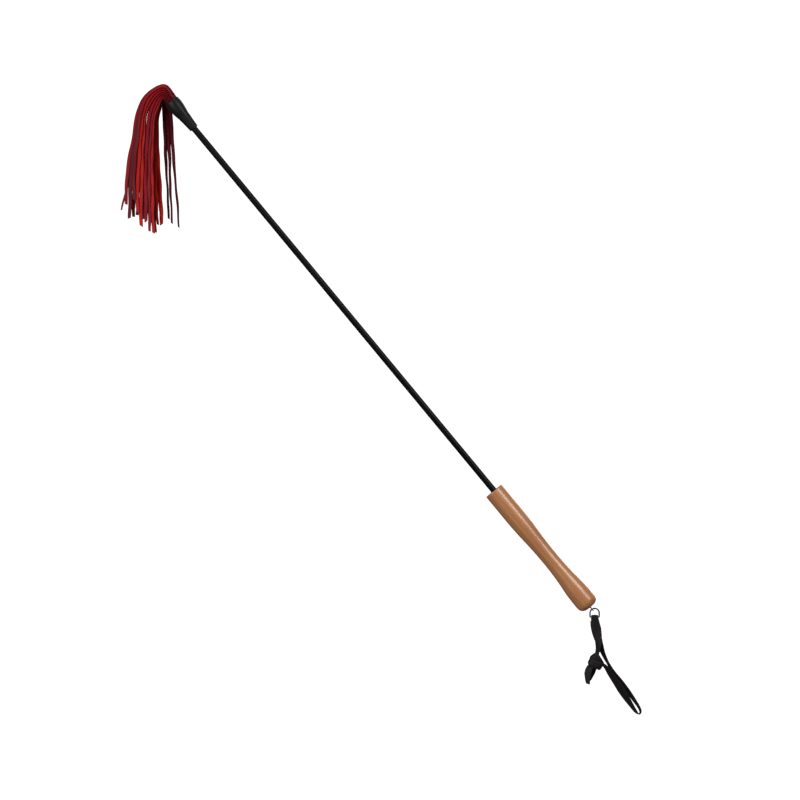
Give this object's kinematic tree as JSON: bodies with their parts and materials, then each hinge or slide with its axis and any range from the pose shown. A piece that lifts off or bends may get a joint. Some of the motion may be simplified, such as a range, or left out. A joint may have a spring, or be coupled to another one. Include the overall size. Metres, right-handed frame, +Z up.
{
  "type": "fly swatter",
  "caption": "Fly swatter with a tassel of red leather strands on a thin black shaft, a turned wooden grip and a black wrist lace on a D-ring.",
  "frame": {"origin": "on the grip's axis where the hand holds it, 75 mm behind the grip's flat front face", "axes": "+Z up, +X towards the butt's side; the shaft lies in the XZ plane, 39.6 degrees from vertical, its tassel end up and towards -X; -Y is the side the picture was taken from"},
  "size_m": [0.5211, 0.0255, 0.6308],
  "materials": {
    "lacquered_wood": "glossy lacquer over orange-brown wood with a fine grain",
    "fibreglass": "smooth fibreglass rod",
    "black_braid": "glossy braided sleeve",
    "black_rubber": "satin, with a fine woven print on the narrow end",
    "waxed_thread": "close-wound waxed thread",
    "steel_wire": "plain drawn wire",
    "dark_ring_metal": "dark bronzed wire, worn bright in places",
    "red_leather": "matte suede-like face, crimson",
    "dark_red_leather": "matte, dark maroon",
    "bright_red_leather": "smooth face, bright red",
    "black_leather": "soft matte black with a faint grain"
  },
  "bodies": {
    "stick": {"wooden_grip": "lacquered_wood", "fibreglass_core": "fibreglass", "shaft_sleeve": "black_braid", "strand_collar": "black_rubber", "root_whipping": "waxed_thread", "screw_eye": "steel_wire"},
    "main_bundle": {"strand_01": "red_leather", "strand_02": "red_leather", "strand_03": "red_leather", "strand_04": "bright_red_leather", "strand_05": "bright_red_leather", "strand_06": "dark_red_leather", "strand_07": "bright_red_leather", "strand_08": "dark_red_leather", "strand_09": "dark_red_leather", "strand_10": "red_leather", "strand_11": "dark_red_leather", "strand_12": "red_leather", "strand_13": "bright_red_leather", "strand_14": "red_leather", "strand_15": "dark_red_leather", "strand_16": "dark_red_leather", "strand_17": "red_leather"},
    "back_bundle": {"strand_18": "dark_red_leather", "strand_19": "dark_red_leather", "strand_20": "dark_red_leather"},
    "ring": {"d_ring": "dark_ring_metal"},
    "wrist_lace": {"lace_front_run": "black_leather", "lace_loop_run": "black_leather", "lace_knot": "black_leather"}
  },
  "joints": [
    {"name": "main_bundle_swing", "type": "hinge", "parent": "stick", "child": "main_bundle", "pos_m": [-0.3881, 0, 0.4515], "axis": [0, 1, 0], "range_deg": [-30, 85], "deforming": ["strand_01", "strand_02", "strand_03", "strand_04", "strand_05", "strand_06", "strand_07", "strand_08", "strand_09", "strand_10", "strand_11", "strand_12", "strand_13", "strand_14", "strand_15", "strand_16", "strand_17"]},
    {"name": "back_bundle_swing", "type": "hinge", "parent": "stick", "child": "back_bundle", "pos_m": [-0.3751, 0, 0.4475], "axis": [0, 1, 0], "range_deg": [-30, 85], "deforming": ["strand_18", "strand_19", "strand_20"]},
    {"name": "ring_slide_through_eye", "type": "hinge", "parent": "stick", "child": "ring", "pos_m": [0.05279, 0, -0.0646], "axis": [0, 1, 0], "range_deg": [-80, 35]},
    {"name": "lace_swing_on_bar", "type": "hinge", "parent": "ring", "child": "wrist_lace", "pos_m": [0.05279, 0, -0.0687], "axis": [1, 0, 0], "range_deg": [-85, 85]}
  ]
}
